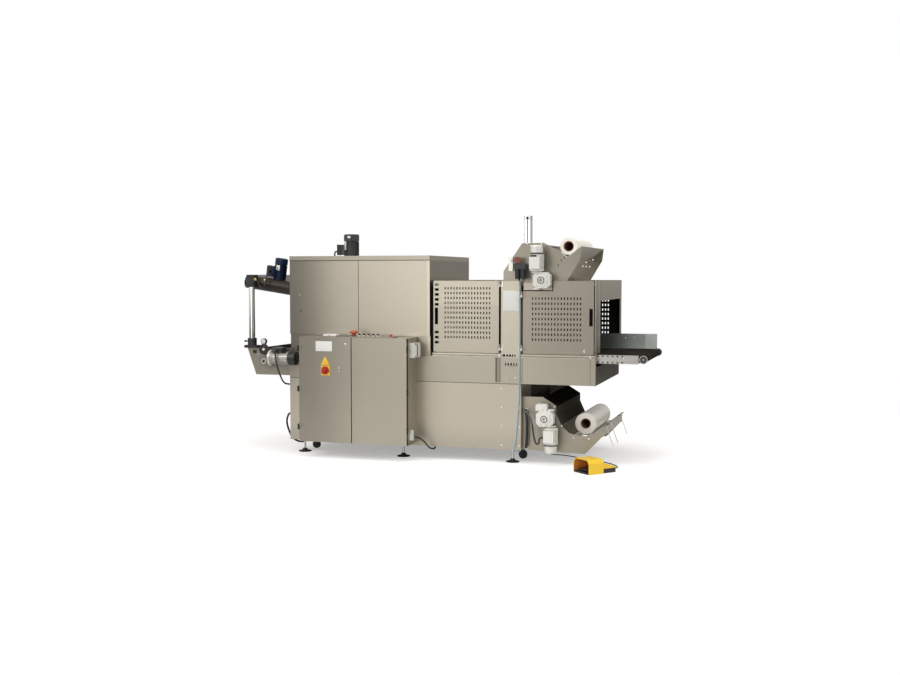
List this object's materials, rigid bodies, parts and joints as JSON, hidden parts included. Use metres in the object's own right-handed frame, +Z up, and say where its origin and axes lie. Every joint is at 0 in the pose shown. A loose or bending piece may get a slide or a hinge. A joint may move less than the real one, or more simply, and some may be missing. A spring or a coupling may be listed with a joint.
{
  "type": "shrink wrapping machine",
  "caption": "Sleeve-seal shrink wrapper: infeed belt, guarded seal station with upper and lower film unwinders, heat tunnel, outfeed belt, control cabinet and foot pedal.",
  "frame": {"origin": "on the floor, under the middle of the length and the depth of the machine with its pedal, without the loose cords", "axes": "+X towards the infeed end, +Y towards the back, +Z up"},
  "size_m": [3.5737, 1.7348, 2.06],
  "materials": {
    "belt_rubber": "matte",
    "black_plastic": "matte",
    "chrome_post": "polished",
    "cover_black": "gloss",
    "cylinder_alu": "satin",
    "dark_rubber": "matte",
    "duct_brown": "satin",
    "film_white": "satin",
    "guide_steel": "satin",
    "hose_blue": "satin",
    "motor_blue": "satin",
    "motor_green": "satin",
    "motor_grey": "cast",
    "pedal_yellow": "gloss",
    "roller_steel": "satin",
    "socket_white": "satin",
    "steel_panel": "brushed",
    "switch_plastic": "satin",
    "zinc": "satin"
  },
  "bodies": {
    "frame": {"base_cabinet": "steel_panel", "levelling_feet": "black_plastic", "casters": "black_plastic", "transfer_bed": "steel_panel", "seal_columns": "steel_panel", "guard_sills": "steel_panel", "hood_end_frames": "steel_panel", "hood_roof": "steel_panel", "rear_guard_panels": "steel_panel", "guard_hinges": "zinc", "tunnel_shell": "steel_panel", "tunnel_front_panels": "steel_panel", "tunnel_lid": "steel_panel", "tunnel_fan_motor": "motor_green", "cooling_duct": "duct_brown", "cooling_motor": "motor_blue", "duct_posts": "chrome_post", "duct_clamps": "black_plastic", "outfeed_side_plates": "steel_panel", "conveyor_belts": "belt_rubber", "belt_rollers": "roller_steel", "belt_side_rails": "zinc", "infeed_guide": "guide_steel", "upper_unwinder_plates": "steel_panel", "upper_film_tray": "steel_panel", "upper_unwinder_rollers": "dark_rubber", "upper_gearmotor": "motor_grey", "lower_unwinder_plates": "steel_panel", "lower_unwinder_rollers": "dark_rubber", "lower_film_cover": "cover_black", "lower_end_plate": "steel_panel", "lower_gearmotor": "motor_grey", "outfeed_gearmotor": "motor_grey", "hand_wheel": "black_plastic", "press_cylinder": "cylinder_alu", "seal_bars": "roller_steel", "cabinet_body": "steel_panel", "control_console": "steel_panel", "side_sockets": "socket_white", "air_unit": "zinc", "air_hose": "hose_blue", "machine_cables": "black_plastic", "pedal_base": "black_plastic", "pedal_hood": "pedal_yellow", "pedal_cord": "black_plastic"},
    "left_guard_door": {"guard_door_left": "steel_panel"},
    "right_guard_door": {"guard_door_right": "steel_panel"},
    "left_cabinet_door": {"cabinet_door_left": "steel_panel", "main_switch": "switch_plastic"},
    "right_cabinet_door": {"cabinet_door_right": "steel_panel"},
    "upper_roll": {"upper_film_roll": "film_white"},
    "lower_roll": {"lower_film_roll": "film_white"}
  },
  "joints": [
    {"name": "guard_left_swing", "type": "hinge", "parent": "frame", "child": "left_guard_door", "pos_m": [0.58236, -0.49857, 1.2], "axis": [0, 0, 1], "range_deg": [0, 95]},
    {"name": "guard_right_swing", "type": "hinge", "parent": "frame", "child": "right_guard_door", "pos_m": [0.76836, -0.49857, 1.2], "axis": [0, 0, -1], "range_deg": [0, 95]},
    {"name": "cabinet_left_swing", "type": "hinge", "parent": "frame", "child": "left_cabinet_door", "pos_m": [-1.12214, -0.74257, 0.58], "axis": [0, 0, -1], "range_deg": [0, 110]},
    {"name": "cabinet_right_swing", "type": "hinge", "parent": "frame", "child": "right_cabinet_door", "pos_m": [-0.13614, -0.74257, 0.58], "axis": [0, 0, 1], "range_deg": [0, 110]},
    {"name": "upper_roll_spin", "type": "hinge", "parent": "frame", "child": "upper_roll", "pos_m": [1.13286, -0.02657, 1.781], "axis": [0, 1, 0], "continuous": true},
    {"name": "lower_roll_spin", "type": "hinge", "parent": "frame", "child": "lower_roll", "pos_m": [1.25636, 0.11843, 0.317], "axis": [0, 1, 0], "continuous": true}
  ]
}
